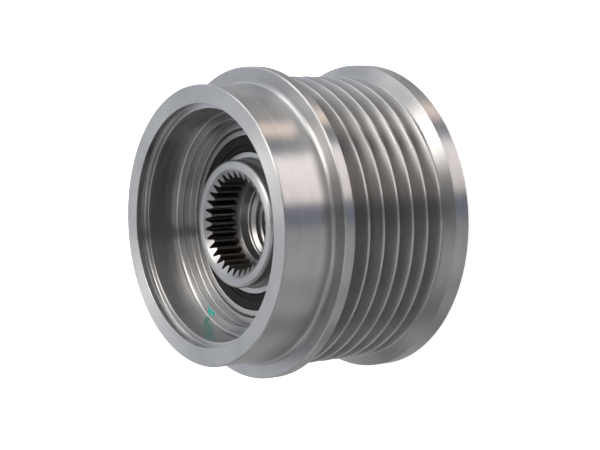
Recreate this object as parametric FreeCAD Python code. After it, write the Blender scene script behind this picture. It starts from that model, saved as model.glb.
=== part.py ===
import FreeCAD, Part
import math
import os

# Alternator pulley with a one-way roller clutch and a ball bearing on each side of it.
# Millimetres. The axis is Z, the open front mouth faces +Z, and the hub's rear face stands on Z = 0.

# Belt ribs: a PK profile
groove_count = 6
rib_pitch = 3.56
rib_crest_width = 0.51
rib_crest_diameter = 56.8
rib_crest_rounding = 0.25
groove_flank_angle = 20.0
groove_root_radius = 0.40

# Pulley body, outside
pulley_rear_stand_off = 1.0
rear_flange_diameter = 61.2
rear_flange_width = 4.35
rear_flange_bevel_width = 0.60
rear_flange_bevel_height = 0.90
rear_flange_lean = 0.30
flange_corner_radius = 0.51
guide_flank_height = 1.73
middle_flange_diameter = 60.6
middle_flange_width = 2.15
middle_flange_chamfer = 0.25
collar_fillet_radius = 1.05
collar_length = 10.9
rim_rounding_radius = 0.35
pulley_edge_chamfer = 0.30

# Pulley body, inside, where each step's width is measured outwards from the bearing's seat
step_width = 2.10
shelf_width = 1.70
rim_width = 3.75
mouth_depth = 1.60
mouth_edge_chamfer = 0.12
mouth_seat_width = 0.45
mouth_seat_depth = 0.50
mouth_lead_chamfer = 0.40
cavity_corner_radius = 0.45
shelf_height = 1.90
shelf_edge_rounding = 0.15
step_corner_radius = 0.40
bearing_recess = 0.10
bearing_bore_chamfer = 0.40

# Ball bearings, one each side of the clutch
bearing_bore_diameter = 25.0
bearing_section_height = 6.0
bearing_width = 7.0
ring_chamfer = 0.40
ring_inner_chamfer = 0.25
ball_groove_depth = 0.50
seal_land_step = 0.47
seal_seat_step = 0.35
seal_seat_depth = 1.0
ball_seal_clearance = 0.83
ball_count = 17
ball_clearance = 0.05
ball_cage_ring_clearance = 0.40
ball_cage_bar_height = 0.25
ball_pocket_clearance = 0.10
ball_pocket_grip_angle = 35.0

# Rubber seals
seal_thickness = 0.80
seal_recess = 0.12
seal_lip_clearance = 0.08
seal_lip_width = 0.74
seal_groove_width = 0.50
seal_groove_depth = 0.25

# Hub
hub_nose_step = 0.10
hub_nose_length = 3.85
hub_nose_bevel_width = 1.30
hub_nose_bevel_height = 0.28
hub_front_land_width = 0.20
hub_collar_step = 1.10
hub_collar_height = 1.5
hub_edge_chamfer = 0.40
spline_teeth = 33
spline_wall = 2.32
spline_tooth_height = 1.23
spline_root_land = 0.22
spline_tip_land = 0.42
spline_length = 7.3
spline_turn = -4.7
spline_foot_angle = 16.5
countersink_angle = 25.0
relief_diameter = 16.4
relief_length = 1.9
relief_edge_chamfer = 0.15
thread_minor_diameter = 14.376
thread_length = 14.6
thread_lead_height = 0.55
pilot_diameter = 17.04
pilot_cone_height = 1.332
pilot_edge_chamfer = 0.50

# One-way clutch
clutch_length = 15.05
clutch_washer_thickness = 0.60
clutch_washer_clearance = 0.25
roller_count = 10
roller_diameter = 3.2
roller_track_clearance = 0.04
roller_ramp_clearance = 0.02
cam_floor_thickness = 1.24
cam_peak_height = 0.76
ramp_angle = 7.0
ramp_length_before_roller = 1.9
ramp_length_after_roller = 2.1
clutch_end_clearance = 0.25
roller_cage_cam_clearance = 0.30
roller_cage_track_clearance = 0.40
roller_cage_bar_height = 1.025
roller_pocket_clearance = 0.15
spring_pocket_width = 1.9
spring_thickness = 0.16
spring_folds = 4
spring_height = 6.0
spring_side_clearance = 0.10

# Places along the axis, from the rear face upwards
rear_bearing_z = hub_collar_height
clutch_z = rear_bearing_z + bearing_width
front_bearing_z = clutch_z + clutch_length
bearing_face_z = front_bearing_z + bearing_width
hub_front_z = bearing_face_z + hub_nose_length
shelf_foot_z = bearing_face_z + bearing_recess
shelf_z = shelf_foot_z + shelf_height
rear_flange_z = pulley_rear_stand_off + rear_flange_width
first_crest_z = rear_flange_z + flange_corner_radius
last_crest_z = first_crest_z + (groove_count - 1) * rib_pitch
front_groove_top_z = last_crest_z + rib_pitch
middle_flange_z = front_groove_top_z + guide_flank_height
collar_z = middle_flange_z + middle_flange_width
rim_z = collar_z + collar_length

# Sizes worked out from the ones above
crest_radius = rib_crest_diameter / 2
rear_flange_radius = rear_flange_diameter / 2
middle_flange_radius = middle_flange_diameter / 2
half_groove_width = (rib_pitch - rib_crest_width) / 2
bearing_bore_radius = bearing_bore_diameter / 2
bearing_outer_radius = bearing_bore_radius + bearing_section_height
step_radius = bearing_outer_radius + step_width
cavity_radius = step_radius + shelf_width
mouth_radius = cavity_radius + mouth_lead_chamfer + mouth_seat_width
collar_radius = mouth_radius + rim_width
ball_diameter = bearing_width - 2 * (seal_recess + seal_thickness + ball_seal_clearance)
ring_gap_at_balls = ball_diameter - 2 * ball_groove_depth
ball_radius = ball_diameter / 2
ball_pitch_radius = (bearing_bore_radius + bearing_outer_radius) / 2
raceway_radius = ball_radius + ball_clearance
inner_shoulder_radius = ball_pitch_radius - ring_gap_at_balls / 2
outer_shoulder_radius = ball_pitch_radius + ring_gap_at_balls / 2
seal_land_radius = inner_shoulder_radius - seal_land_step
seal_seat_radius = outer_shoulder_radius + seal_seat_step
ramp_radius = bearing_bore_radius + cam_floor_thickness
cam_peak_radius = ramp_radius + cam_peak_height
roller_radius = roller_diameter / 2
roller_pitch_radius = ramp_radius + roller_ramp_clearance + roller_radius
clutch_track_radius = roller_pitch_radius + roller_radius + roller_track_clearance
clutch_middle_z = clutch_z + clutch_length / 2
clutch_inside_height = clutch_length - 2 * clutch_washer_thickness
roller_cage_inner_radius = cam_peak_radius + roller_cage_cam_clearance
roller_cage_outer_radius = clutch_track_radius - roller_cage_track_clearance
roller_cage_height = clutch_inside_height - 2 * clutch_end_clearance
roller_window_height = roller_cage_height - 2 * roller_cage_bar_height
roller_length = roller_window_height - 2 * roller_pocket_clearance
spline_root_radius = bearing_bore_radius - spline_wall
spline_tip_radius = spline_root_radius - spline_tooth_height
spline_foot_z = hub_front_z - spline_length
relief_radius = relief_diameter / 2
relief_edge_radius = relief_radius + relief_edge_chamfer
spline_foot_slope = math.tan(math.radians(spline_foot_angle))

AXIS = FreeCAD.Vector(0, 0, 1)
ORIGIN = FreeCAD.Vector(0, 0, 0)


class Outline:
    """A closed outline in the plane of radius and height, drawn edge by edge."""

    def __init__(self, radius, height):
        self.start = FreeCAD.Vector(radius, 0, height)
        self.end = self.start
        self.edges = []

    def line(self, radius, height):
        """Draw a straight edge to a point."""
        point = FreeCAD.Vector(radius, 0, height)
        self.edges.append(Part.makeLine(self.end, point))
        self.end = point
        return self

    def arc(self, radius, height, centre_radius, centre_height):
        """Draw the shorter arc to a point, about a centre."""
        point = FreeCAD.Vector(radius, 0, height)
        centre = FreeCAD.Vector(centre_radius, 0, centre_height)
        bisector = (self.end - centre) + (point - centre)
        bisector.normalize()
        middle = centre + bisector * (point - centre).Length
        self.edges.append(Part.Arc(self.end, middle, point).toShape())
        self.end = point
        return self

    def face(self):
        """Close the outline and fill it."""
        if (self.end - self.start).Length > 1e-6:
            self.line(self.start.x, self.start.z)
        return Part.Face(Part.Wire(self.edges))

    def turned(self):
        """Turn the outline once round the axis."""
        return self.face().revolve(ORIGIN, AXIS, 360)


def tube(inner_radius, outer_radius, low_z, high_z):
    """A plain ring between two heights."""
    outline = Outline(inner_radius, low_z).line(outer_radius, low_z)
    return outline.line(outer_radius, high_z).line(inner_radius, high_z).turned()


def around(shape, count):
    """Equal copies of a shape, evenly spaced round the axis."""
    copies = []
    for index in range(count):
        copy = shape.copy()
        copy.rotate(ORIGIN, AXIS, index * 360.0 / count)
        copies.append(copy)
    return copies


def draw_crest_edge(outline, corner_z, side):
    """Draw the rounded edge of a crest. The side is 1 where a groove follows and -1 where one ends."""
    angle = math.radians(groove_flank_angle)
    reach = rib_crest_rounding * math.tan((math.pi / 2 - angle) / 2)
    flat_z = corner_z - side * reach
    flank = (crest_radius - reach * math.cos(angle), corner_z + side * reach * math.sin(angle))
    centre = (crest_radius - rib_crest_rounding, flat_z)
    if side > 0:
        outline.line(crest_radius, flat_z).arc(*flank, *centre)
    else:
        outline.line(*flank).arc(crest_radius, flat_z, *centre)


def draw_groove(outline, crest_z, last):
    """Draw one belt groove, from the crest below it up to the crest above, or to the front flange."""
    angle = math.radians(groove_flank_angle)
    middle_z = crest_z + rib_crest_width + half_groove_width
    apex_radius = crest_radius - half_groove_width / math.tan(angle)
    centre_radius = apex_radius + groove_root_radius / math.sin(angle)
    tangent_radius = centre_radius - groove_root_radius * math.sin(angle)
    tangent_offset = groove_root_radius * math.cos(angle)
    draw_crest_edge(outline, crest_z + rib_crest_width, 1)
    outline.line(tangent_radius, middle_z - tangent_offset)
    outline.arc(centre_radius - groove_root_radius, middle_z, centre_radius, middle_z)
    outline.arc(tangent_radius, middle_z + tangent_offset, centre_radius, middle_z)
    if last:
        outline.line(crest_radius, crest_z + rib_pitch)
    else:
        draw_crest_edge(outline, crest_z + rib_pitch, -1)


def pulley_body():
    """The turned body: rear flange, belt ribs, middle flange, smooth collar and the stepped front mouth."""
    rear_z = pulley_rear_stand_off
    chamfer = pulley_edge_chamfer
    outline = Outline(bearing_outer_radius + chamfer, rear_z)
    outline.line(rear_flange_radius - chamfer, rear_z)
    outline.line(rear_flange_radius, rear_z + chamfer)
    outline.line(rear_flange_radius, rear_flange_z - rear_flange_bevel_height)
    outline.line(rear_flange_radius - rear_flange_bevel_width, rear_flange_z - rear_flange_lean)
    outline.line(crest_radius + flange_corner_radius, rear_flange_z)
    outline.arc(crest_radius, first_crest_z, crest_radius + flange_corner_radius, first_crest_z)
    for index in range(groove_count):
        draw_groove(outline, first_crest_z + index * rib_pitch, index == groove_count - 1)
    outline.line(middle_flange_radius, middle_flange_z)
    outline.line(middle_flange_radius, collar_z - middle_flange_chamfer)
    outline.line(middle_flange_radius - middle_flange_chamfer, collar_z)
    fillet_end_z = collar_z + collar_fillet_radius
    outline.line(collar_radius + collar_fillet_radius, collar_z)
    outline.arc(collar_radius, fillet_end_z, collar_radius + collar_fillet_radius, fillet_end_z)
    outline.line(collar_radius, rim_z - rim_rounding_radius)
    rounding_centre = (collar_radius - rim_rounding_radius, rim_z - rim_rounding_radius)
    outline.arc(collar_radius - rim_rounding_radius, rim_z, *rounding_centre)
    draw_mouth(outline)
    outline.line(bearing_outer_radius + bearing_bore_chamfer, shelf_foot_z)
    outline.line(bearing_outer_radius, shelf_foot_z - bearing_bore_chamfer)
    outline.line(bearing_outer_radius, rear_z + chamfer)
    return outline.turned()


def draw_mouth(outline):
    """Draw the mouth's bore, its cap seat, the cavity wall and the two shelves, from the rim inwards."""
    seat_z = rim_z - mouth_depth
    lead_z = seat_z - mouth_seat_depth
    outline.line(mouth_radius + mouth_edge_chamfer, rim_z)
    outline.line(mouth_radius, rim_z - mouth_edge_chamfer)
    outline.line(mouth_radius, seat_z)
    outline.line(mouth_radius - mouth_seat_width, lead_z)
    outline.line(cavity_radius, lead_z - mouth_lead_chamfer)
    outline.line(cavity_radius, shelf_z + cavity_corner_radius)
    corner = (cavity_radius - cavity_corner_radius, shelf_z + cavity_corner_radius)
    outline.arc(cavity_radius - cavity_corner_radius, shelf_z, *corner)
    outline.line(step_radius + shelf_edge_rounding, shelf_z)
    outline.line(step_radius, shelf_z - shelf_edge_rounding)
    outline.line(step_radius, shelf_foot_z + step_corner_radius)
    corner = (step_radius - step_corner_radius, shelf_foot_z + step_corner_radius)
    outline.arc(step_radius - step_corner_radius, shelf_foot_z, *corner)


def spline_bore():
    """The space inside the toothed socket: straight-sided tooth spaces round a plain core."""
    root_radius = spline_root_radius
    tip_radius = spline_tip_radius
    points = []
    for index in range(spline_teeth):
        middle = 2 * math.pi * index / spline_teeth
        next_middle = 2 * math.pi * (index + 0.5) / spline_teeth
        root_half = spline_root_land / 2 / root_radius
        tip_half = spline_tip_land / 2 / tip_radius
        for angle, radius in (
            (middle - root_half, root_radius),
            (middle + root_half, root_radius),
            (next_middle - tip_half, tip_radius),
            (next_middle + tip_half, tip_radius),
        ):
            points.append(FreeCAD.Vector(radius * math.cos(angle), radius * math.sin(angle), 0))
    points.append(points[0])
    space = Part.Face(Part.makePolygon(points)).extrude(AXIS * spline_length)
    space.translate(AXIS * spline_foot_z)
    space.rotate(ORIGIN, AXIS, spline_turn)
    return space.cut(spline_foot())


def spline_foot():
    """The sloping shoulder that the tooth spaces end on."""
    outside = spline_root_radius + spline_tooth_height
    rise = (outside - relief_edge_radius) * spline_foot_slope
    outline = Outline(relief_edge_radius, spline_foot_z).line(outside, spline_foot_z)
    return outline.line(outside, spline_foot_z + rise).turned()


def hub_blank():
    """The turned hub with its stepped bore, before the spline is cut."""
    hub_radius = bearing_bore_radius
    nose_radius = hub_radius - hub_nose_step
    collar_edge = hub_radius + hub_collar_step
    pilot_radius = pilot_diameter / 2
    thread_radius = thread_minor_diameter / 2
    tip_radius = spline_tip_radius
    countersink_radius = nose_radius - hub_nose_bevel_width - hub_front_land_width
    relief_foot_z = spline_foot_z - relief_length
    thread_top_z = relief_foot_z - thread_lead_height
    thread_foot_z = thread_top_z - thread_length
    countersink_depth = (countersink_radius - tip_radius) * math.tan(math.radians(countersink_angle))
    outline = Outline(pilot_radius + pilot_edge_chamfer, 0)
    outline.line(collar_edge - hub_edge_chamfer, 0).line(collar_edge, hub_edge_chamfer)
    outline.line(collar_edge, hub_collar_height).line(hub_radius, hub_collar_height)
    outline.line(hub_radius, bearing_face_z)
    outline.line(nose_radius, bearing_face_z + hub_nose_step)
    outline.line(nose_radius, hub_front_z - hub_nose_bevel_height)
    outline.line(nose_radius - hub_nose_bevel_width, hub_front_z)
    outline.line(countersink_radius, hub_front_z)
    outline.line(tip_radius, hub_front_z - countersink_depth)
    outline.line(tip_radius, spline_foot_z + (tip_radius - relief_edge_radius) * spline_foot_slope)
    outline.line(relief_edge_radius, spline_foot_z)
    outline.line(relief_radius, spline_foot_z - relief_edge_chamfer)
    outline.line(relief_radius, relief_foot_z).line(thread_radius, thread_top_z)
    outline.line(thread_radius, thread_foot_z)
    outline.line(pilot_radius, thread_foot_z - pilot_cone_height)
    outline.line(pilot_radius, pilot_edge_chamfer)
    return outline.turned()


def hub_sleeve():
    """The hub: thread and pilot bore for the shaft, and a toothed socket for the fitting tool."""
    return hub_blank().cut(spline_bore())


def bearing_inner_ring(foot_z):
    """The inner ring, with a raceway and a low land for each seal's lip."""
    land = seal_land_radius
    shoulder = inner_shoulder_radius
    top_z = foot_z + bearing_width
    middle_z = foot_z + bearing_width / 2
    groove_half = math.sqrt(raceway_radius ** 2 - (ball_pitch_radius - shoulder) ** 2)
    bottom = ball_pitch_radius - raceway_radius
    bore = bearing_bore_radius
    chamfer = ring_inner_chamfer
    outline = Outline(bore, foot_z + chamfer).line(bore + chamfer, foot_z).line(land, foot_z)
    outline.line(land, foot_z + seal_seat_depth).line(shoulder, foot_z + seal_seat_depth)
    outline.line(shoulder, middle_z - groove_half)
    outline.arc(bottom, middle_z, ball_pitch_radius, middle_z)
    outline.arc(shoulder, middle_z + groove_half, ball_pitch_radius, middle_z)
    outline.line(shoulder, top_z - seal_seat_depth).line(land, top_z - seal_seat_depth)
    outline.line(land, top_z).line(bore + chamfer, top_z).line(bore, top_z - chamfer)
    return outline.turned()


def bearing_outer_ring(foot_z):
    """The outer ring, with a raceway and a seat for each seal."""
    seat = seal_seat_radius
    shoulder = outer_shoulder_radius
    top_z = foot_z + bearing_width
    middle_z = foot_z + bearing_width / 2
    groove_half = math.sqrt(raceway_radius ** 2 - (shoulder - ball_pitch_radius) ** 2)
    bottom = ball_pitch_radius + raceway_radius
    outside = bearing_outer_radius
    outline = Outline(outside, foot_z + ring_chamfer).line(outside, top_z - ring_chamfer)
    outline.line(outside - ring_chamfer, top_z).line(seat, top_z)
    outline.line(seat, top_z - seal_seat_depth).line(shoulder, top_z - seal_seat_depth)
    outline.line(shoulder, middle_z + groove_half)
    outline.arc(bottom, middle_z, ball_pitch_radius, middle_z)
    outline.arc(shoulder, middle_z - groove_half, ball_pitch_radius, middle_z)
    outline.line(shoulder, foot_z + seal_seat_depth).line(seat, foot_z + seal_seat_depth)
    outline.line(seat, foot_z).line(outside - ring_chamfer, foot_z)
    return outline.turned()


def bearing_balls(foot_z):
    """The ring of balls."""
    middle_z = foot_z + bearing_width / 2
    ball = Part.makeSphere(ball_radius, FreeCAD.Vector(ball_pitch_radius, 0, middle_z))
    return Part.makeCompound(around(ball, ball_count))


def ball_cage(foot_z, opening_up):
    """The moulded cage: a ring with a round pocket for each ball."""
    middle_z = foot_z + bearing_width / 2
    pocket_radius = ball_radius + ball_pocket_clearance
    half_height = pocket_radius + ball_cage_bar_height
    low_z = middle_z - half_height
    inner_radius = inner_shoulder_radius + ball_cage_ring_clearance
    outer_radius = outer_shoulder_radius - ball_cage_ring_clearance
    cage = tube(inner_radius, outer_radius, low_z, middle_z + half_height)
    pocket = Part.makeSphere(pocket_radius, FreeCAD.Vector(ball_pitch_radius, 0, middle_z))
    mouth_width = 2 * pocket_radius * math.cos(math.radians(ball_pocket_grip_angle))
    mouth_foot_z = middle_z if opening_up else low_z
    corner = FreeCAD.Vector(ball_pitch_radius - pocket_radius, -mouth_width / 2, mouth_foot_z)
    mouth = Part.makeBox(2 * pocket_radius, mouth_width, half_height, corner)
    return cage.cut(around(pocket.fuse(mouth), ball_count))


def seal_ring(face_z, outward):
    """A moulded rubber seal just under a bearing's face. The outward value is 1 for up and -1 for down."""
    seat = seal_seat_radius
    lip = seal_land_radius + seal_lip_clearance
    groove_inner = lip + seal_lip_width
    groove_outer = groove_inner + seal_groove_width
    outer_z = face_z - outward * seal_recess
    inner_z = outer_z - outward * seal_thickness
    groove_z = outer_z - outward * seal_groove_depth
    outline = Outline(lip, inner_z).line(lip, outer_z - outward * seal_groove_depth)
    outline.line(lip + seal_groove_depth, outer_z).line(groove_inner, outer_z)
    outline.line(groove_inner, groove_z).line(groove_outer, groove_z)
    outline.line(groove_outer, outer_z).line(seat, outer_z).line(seat, inner_z)
    return outline.turned()


def clutch_outer_ring():
    """The hard running track pressed into the pulley."""
    return tube(clutch_track_radius, bearing_outer_radius, clutch_z, clutch_z + clutch_length)


def clutch_end_washer(foot_z):
    """A flat washer that closes one end of the clutch."""
    outside = clutch_track_radius - clutch_washer_clearance
    return tube(bearing_bore_radius, outside, foot_z, foot_z + clutch_washer_thickness)


def cam_ring():
    """The ring pressed on the hub, with a sloping ramp under each roller."""
    low_z = clutch_z + clutch_washer_thickness
    ring = tube(bearing_bore_radius, cam_peak_radius, low_z, low_z + clutch_inside_height)
    length = ramp_length_before_roller + ramp_length_after_roller
    corner = FreeCAD.Vector(ramp_radius, -ramp_length_before_roller, low_z)
    cutter = Part.makeBox(roller_diameter, length, clutch_inside_height, corner)
    cutter.rotate(FreeCAD.Vector(roller_pitch_radius, 0, 0), AXIS, ramp_angle)
    return ring.cut(around(cutter, roller_count))


def clutch_rollers():
    """The rollers, each between its ramp and the track."""
    foot = FreeCAD.Vector(roller_pitch_radius, 0, clutch_middle_z - roller_length / 2)
    roller = Part.makeCylinder(roller_radius, roller_length, foot)
    return Part.makeCompound(around(roller, roller_count))


def roller_cage():
    """The moulded cage: a window for each roller and the spring beside it."""
    low_z = clutch_middle_z - roller_cage_height / 2
    inner_radius = roller_cage_inner_radius
    cage = tube(inner_radius, roller_cage_outer_radius, low_z, low_z + roller_cage_height)
    half_pocket = roller_radius + roller_pocket_clearance
    window_width = 2 * half_pocket + spring_pocket_width
    window_foot_z = clutch_middle_z - roller_window_height / 2
    corner = FreeCAD.Vector(inner_radius - roller_radius, -half_pocket, window_foot_z)
    window = Part.makeBox(2 * roller_diameter, window_width, roller_window_height, corner)
    return cage.cut(around(window, roller_count))


def clutch_springs():
    """Folded strip springs, each between its roller and the far side of the window."""
    start_y = roller_radius + spring_side_clearance
    travel = spring_pocket_width + roller_pocket_clearance - 2 * spring_side_clearance
    step = travel / spring_folds
    inner = roller_cage_inner_radius + spring_side_clearance
    outer = roller_cage_outer_radius - spring_side_clearance
    fold_angle = math.atan2(step, outer - inner)
    half_shift = spring_thickness / 2 / math.sin(fold_angle)
    front = []
    back = []
    for index in range(spring_folds + 1):
        radius = inner + half_shift if index % 2 == 0 else outer - half_shift
        front.append(FreeCAD.Vector(radius + half_shift, start_y + index * step, 0))
        back.append(FreeCAD.Vector(radius - half_shift, start_y + index * step, 0))
    points = front + back[::-1] + front[:1]
    strip = Part.Face(Part.makePolygon(points)).extrude(AXIS * spring_height)
    strip.translate(AXIS * (clutch_middle_z - spring_height / 2))
    return Part.makeCompound(around(strip, roller_count))


def all_parts():
    """Every piece by name."""
    return {
        "pulley_body": pulley_body(),
        "hub_sleeve": hub_sleeve(),
        "front_bearing_outer_ring": bearing_outer_ring(front_bearing_z),
        "front_bearing_inner_ring": bearing_inner_ring(front_bearing_z),
        "front_bearing_balls": bearing_balls(front_bearing_z),
        "front_ball_cage": ball_cage(front_bearing_z, False),
        "front_outer_seal": seal_ring(front_bearing_z + bearing_width, 1),
        "front_inner_seal": seal_ring(front_bearing_z, -1),
        "rear_bearing_outer_ring": bearing_outer_ring(rear_bearing_z),
        "rear_bearing_inner_ring": bearing_inner_ring(rear_bearing_z),
        "rear_bearing_balls": bearing_balls(rear_bearing_z),
        "rear_ball_cage": ball_cage(rear_bearing_z, True),
        "rear_outer_seal": seal_ring(rear_bearing_z, -1),
        "rear_inner_seal": seal_ring(rear_bearing_z + bearing_width, 1),
        "clutch_outer_ring": clutch_outer_ring(),
        "clutch_cam_ring": cam_ring(),
        "clutch_rollers": clutch_rollers(),
        "clutch_roller_cage": roller_cage(),
        "clutch_springs": clutch_springs(),
        "clutch_rear_washer": clutch_end_washer(clutch_z),
        "clutch_front_washer": clutch_end_washer(clutch_z + clutch_length - clutch_washer_thickness),
    }


def main():
    """Write one STEP file for each piece."""
    os.makedirs("parts", exist_ok=True)
    for name, shape in all_parts().items():
        print(name, "solids", len(shape.Solids), "valid", shape.isValid(), "volume", round(shape.Volume, 2))
        shape.exportStep("parts/" + name + ".step")


main()
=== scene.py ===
"""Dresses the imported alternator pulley.

The turned body, the splined and threaded hub and the sealed ball bearings are modelled here, with their
finishes, the light all round them and the camera.
"""

import logging
import math
from dataclasses import dataclass
from enum import Enum
from typing import Any, Optional, Union

import bpy
from mathutils import Matrix, Vector

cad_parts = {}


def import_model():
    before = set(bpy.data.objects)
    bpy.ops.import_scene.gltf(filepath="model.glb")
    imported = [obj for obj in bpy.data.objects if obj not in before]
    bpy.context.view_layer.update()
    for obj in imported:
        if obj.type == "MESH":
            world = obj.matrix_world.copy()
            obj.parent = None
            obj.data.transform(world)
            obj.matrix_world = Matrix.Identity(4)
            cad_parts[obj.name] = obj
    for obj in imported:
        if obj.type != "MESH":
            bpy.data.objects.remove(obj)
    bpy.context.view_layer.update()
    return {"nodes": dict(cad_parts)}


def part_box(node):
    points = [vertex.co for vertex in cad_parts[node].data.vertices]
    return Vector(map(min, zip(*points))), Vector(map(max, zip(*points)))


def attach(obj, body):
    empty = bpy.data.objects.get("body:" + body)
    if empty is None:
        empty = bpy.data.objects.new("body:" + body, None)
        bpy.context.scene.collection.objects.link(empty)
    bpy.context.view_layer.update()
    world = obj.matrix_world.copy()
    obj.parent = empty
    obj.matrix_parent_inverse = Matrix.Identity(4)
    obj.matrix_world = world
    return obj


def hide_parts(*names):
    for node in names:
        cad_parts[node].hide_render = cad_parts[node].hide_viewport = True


MM = 0.001
# Points that are nearer than this, in metres, are one point.
MERGE = 1e-7
WHITE = (1.0, 1.0, 1.0, 1.0)
LOG = logging.getLogger("alternator_pulley")
Colour = tuple[float, float, float]
Number = Union[float, "Sock"]


class Sock:
    """A shader socket that Python's arithmetic works on."""

    def __init__(self, tree: bpy.types.NodeTree, socket: bpy.types.NodeSocket) -> None:
        """Wraps a socket of a node tree."""
        self.tree = tree
        self.socket = socket

    def node(self, kind: str, settings: dict[str, Any], values: dict[Any, Any]) -> bpy.types.Node:
        """Adds a node.

        Args:
            kind: The node's type.
            settings: Its settings, which are set first.
            values: Values or links of its inputs, by name or place.

        Returns:
            The new node.
        """
        return add_node(self.tree, kind, settings, values)

    def math(self, operation: str, *others: Number) -> "Sock":
        """Adds a Math node that starts with this socket."""
        values = dict(enumerate((self, *others)))
        return Sock(self.tree, self.node("ShaderNodeMath", {"operation": operation}, values).outputs[0])

    def __add__(self, other: Number) -> "Sock":
        """Adds."""
        return self.math("ADD", other)

    def __radd__(self, other: float) -> "Sock":
        """Adds to a number."""
        return self.math("ADD", other)

    def __sub__(self, other: Number) -> "Sock":
        """Subtracts."""
        return self.math("SUBTRACT", other)

    def __rsub__(self, other: float) -> "Sock":
        """Subtracts from a number."""
        return (self * -1.0).math("ADD", other)

    def __mul__(self, other: Number) -> "Sock":
        """Multiplies."""
        return self.math("MULTIPLY", other)

    def __rmul__(self, other: float) -> "Sock":
        """Multiplies a number."""
        return self.math("MULTIPLY", other)

    def __truediv__(self, other: Number) -> "Sock":
        """Divides."""
        return self.math("DIVIDE", other)

    def smooth_step(self, low: float, high: float) -> "Sock":
        """Rises smoothly from 0 at low to 1 at high.

        Args:
            low: Where it starts.
            high: Where it ends.

        Returns:
            The smooth step.
        """
        settings = {"interpolation_type": "SMOOTHSTEP", "clamp": True}
        node = self.node("ShaderNodeMapRange", settings, {"Value": self, "From Min": low, "From Max": high})
        return Sock(self.tree, node.outputs["Result"])

    def between(self, low: float, high: float, soft: float) -> "Sock":
        """Is 1 from low to high, with soft edges."""
        return self.smooth_step(low - soft, low + soft) * (1.0 - self.smooth_step(high - soft, high + soft))


def add_node(
    tree: bpy.types.NodeTree,
    kind: str,
    settings: dict[str, Any],
    values: dict[Any, Any],
) -> bpy.types.Node:
    """Adds a node to a tree.

    Args:
        tree: The node tree.
        kind: The node's type.
        settings: Its settings, which are set first.
        values: Values or links of its inputs, by name or place.

    Returns:
        The new node.
    """
    node = tree.nodes.new(kind)
    for name, value in settings.items():
        setattr(node, name, value)
    for name, value in values.items():
        if isinstance(value, Sock):
            tree.links.new(value.socket, node.inputs[name])
        else:
            node.inputs[name].default_value = value
    return node


class Shade:
    """One material's tree, with the coordinates that its pattern follows."""

    def __init__(self, name: str) -> None:
        """Starts an empty material.

        Args:
            name: The material's name.
        """
        self.material = bpy.data.materials.new(name)
        self.material.use_nodes = True
        self.tree = self.material.node_tree
        self.tree.nodes.clear()
        coordinates = add_node(self.tree, "ShaderNodeTexCoord", {}, {})
        self.place = Sock(self.tree, coordinates.outputs["Object"])
        split = add_node(self.tree, "ShaderNodeSeparateXYZ", {}, {"Vector": self.place})
        self.x = Sock(self.tree, split.outputs["X"])
        self.y = Sock(self.tree, split.outputs["Y"])
        self.height = Sock(self.tree, split.outputs["Z"])
        self.radius = (self.x * self.x + self.y * self.y).math("SQRT")

    def vector(self, x: Number, y: Number, z: Number) -> Sock:
        """Joins three numbers into a vector."""
        node = add_node(self.tree, "ShaderNodeCombineXYZ", {}, {"X": x, "Y": y, "Z": z})
        return Sock(self.tree, node.outputs["Vector"])

    def noise(self, vector: Sock, scale: float, detail: float = 2.0, roughness: float = 0.5) -> Sock:
        """Noise from 0 to 1 over a vector.

        Args:
            vector: Where it is read.
            scale: How many of its grains fit in a metre.
            detail: How many finer layers it has.
            roughness: How strong those layers are.

        Returns:
            The noise.
        """
        values = {"Vector": vector, "Scale": scale, "Detail": detail, "Roughness": roughness}
        node = add_node(self.tree, "ShaderNodeTexNoise", {"noise_dimensions": "3D"}, values)
        return Sock(self.tree, node.outputs["Fac"])

    def turned_vector(self, twist: float) -> Sock:
        """A vector that changes quickly across the lathe's marks and slowly along them."""
        return self.vector(self.radius + self.x * twist, self.height + self.y * twist, self.radius * 0.7)

    def mix(self, share: Number, low: Any, high: Any) -> Sock:
        """Mixes two colours.

        Args:
            share: How much of the second there is.
            low: The first colour.
            high: The second colour.

        Returns:
            The mixed colour.
        """
        settings = {"data_type": "RGBA", "blend_type": "MIX", "clamp_factor": True}
        low = low if isinstance(low, Sock) else (*low, 1.0)
        high = high if isinstance(high, Sock) else (*high, 1.0)
        node = add_node(self.tree, "ShaderNodeMix", settings, {0: share, 6: low, 7: high})
        return Sock(self.tree, node.outputs[2])

    def bump(self, height: Sock, distance: float, strength: float) -> Sock:
        """Bumps the surface by a height from 0 to 1.

        Args:
            height: The height.
            distance: What a height of 1 is, in metres.
            strength: How much of the bump shows.

        Returns:
            The bumped normal.
        """
        values = {"Height": height, "Distance": distance, "Strength": strength}
        node = add_node(self.tree, "ShaderNodeBump", {}, values)
        return Sock(self.tree, node.outputs["Normal"])

    def finish(self, **inputs: Any) -> bpy.types.Material:
        """Ends the tree in a Principled shader with the named inputs.

        Args:
            **inputs: Values or links of its sockets, with _ for a space.

        Returns:
            The finished material.
        """
        values = {}
        for name, value in inputs.items():
            if isinstance(value, tuple) and len(value) == 3:
                value = (*value, 1.0)
            values[name.replace("_", " ")] = value
        shader = add_node(self.tree, "ShaderNodeBsdfPrincipled", {}, values)
        output = add_node(self.tree, "ShaderNodeOutputMaterial", {}, {})
        self.tree.links.new(shader.outputs["BSDF"], output.inputs["Surface"])
        return self.material


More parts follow.
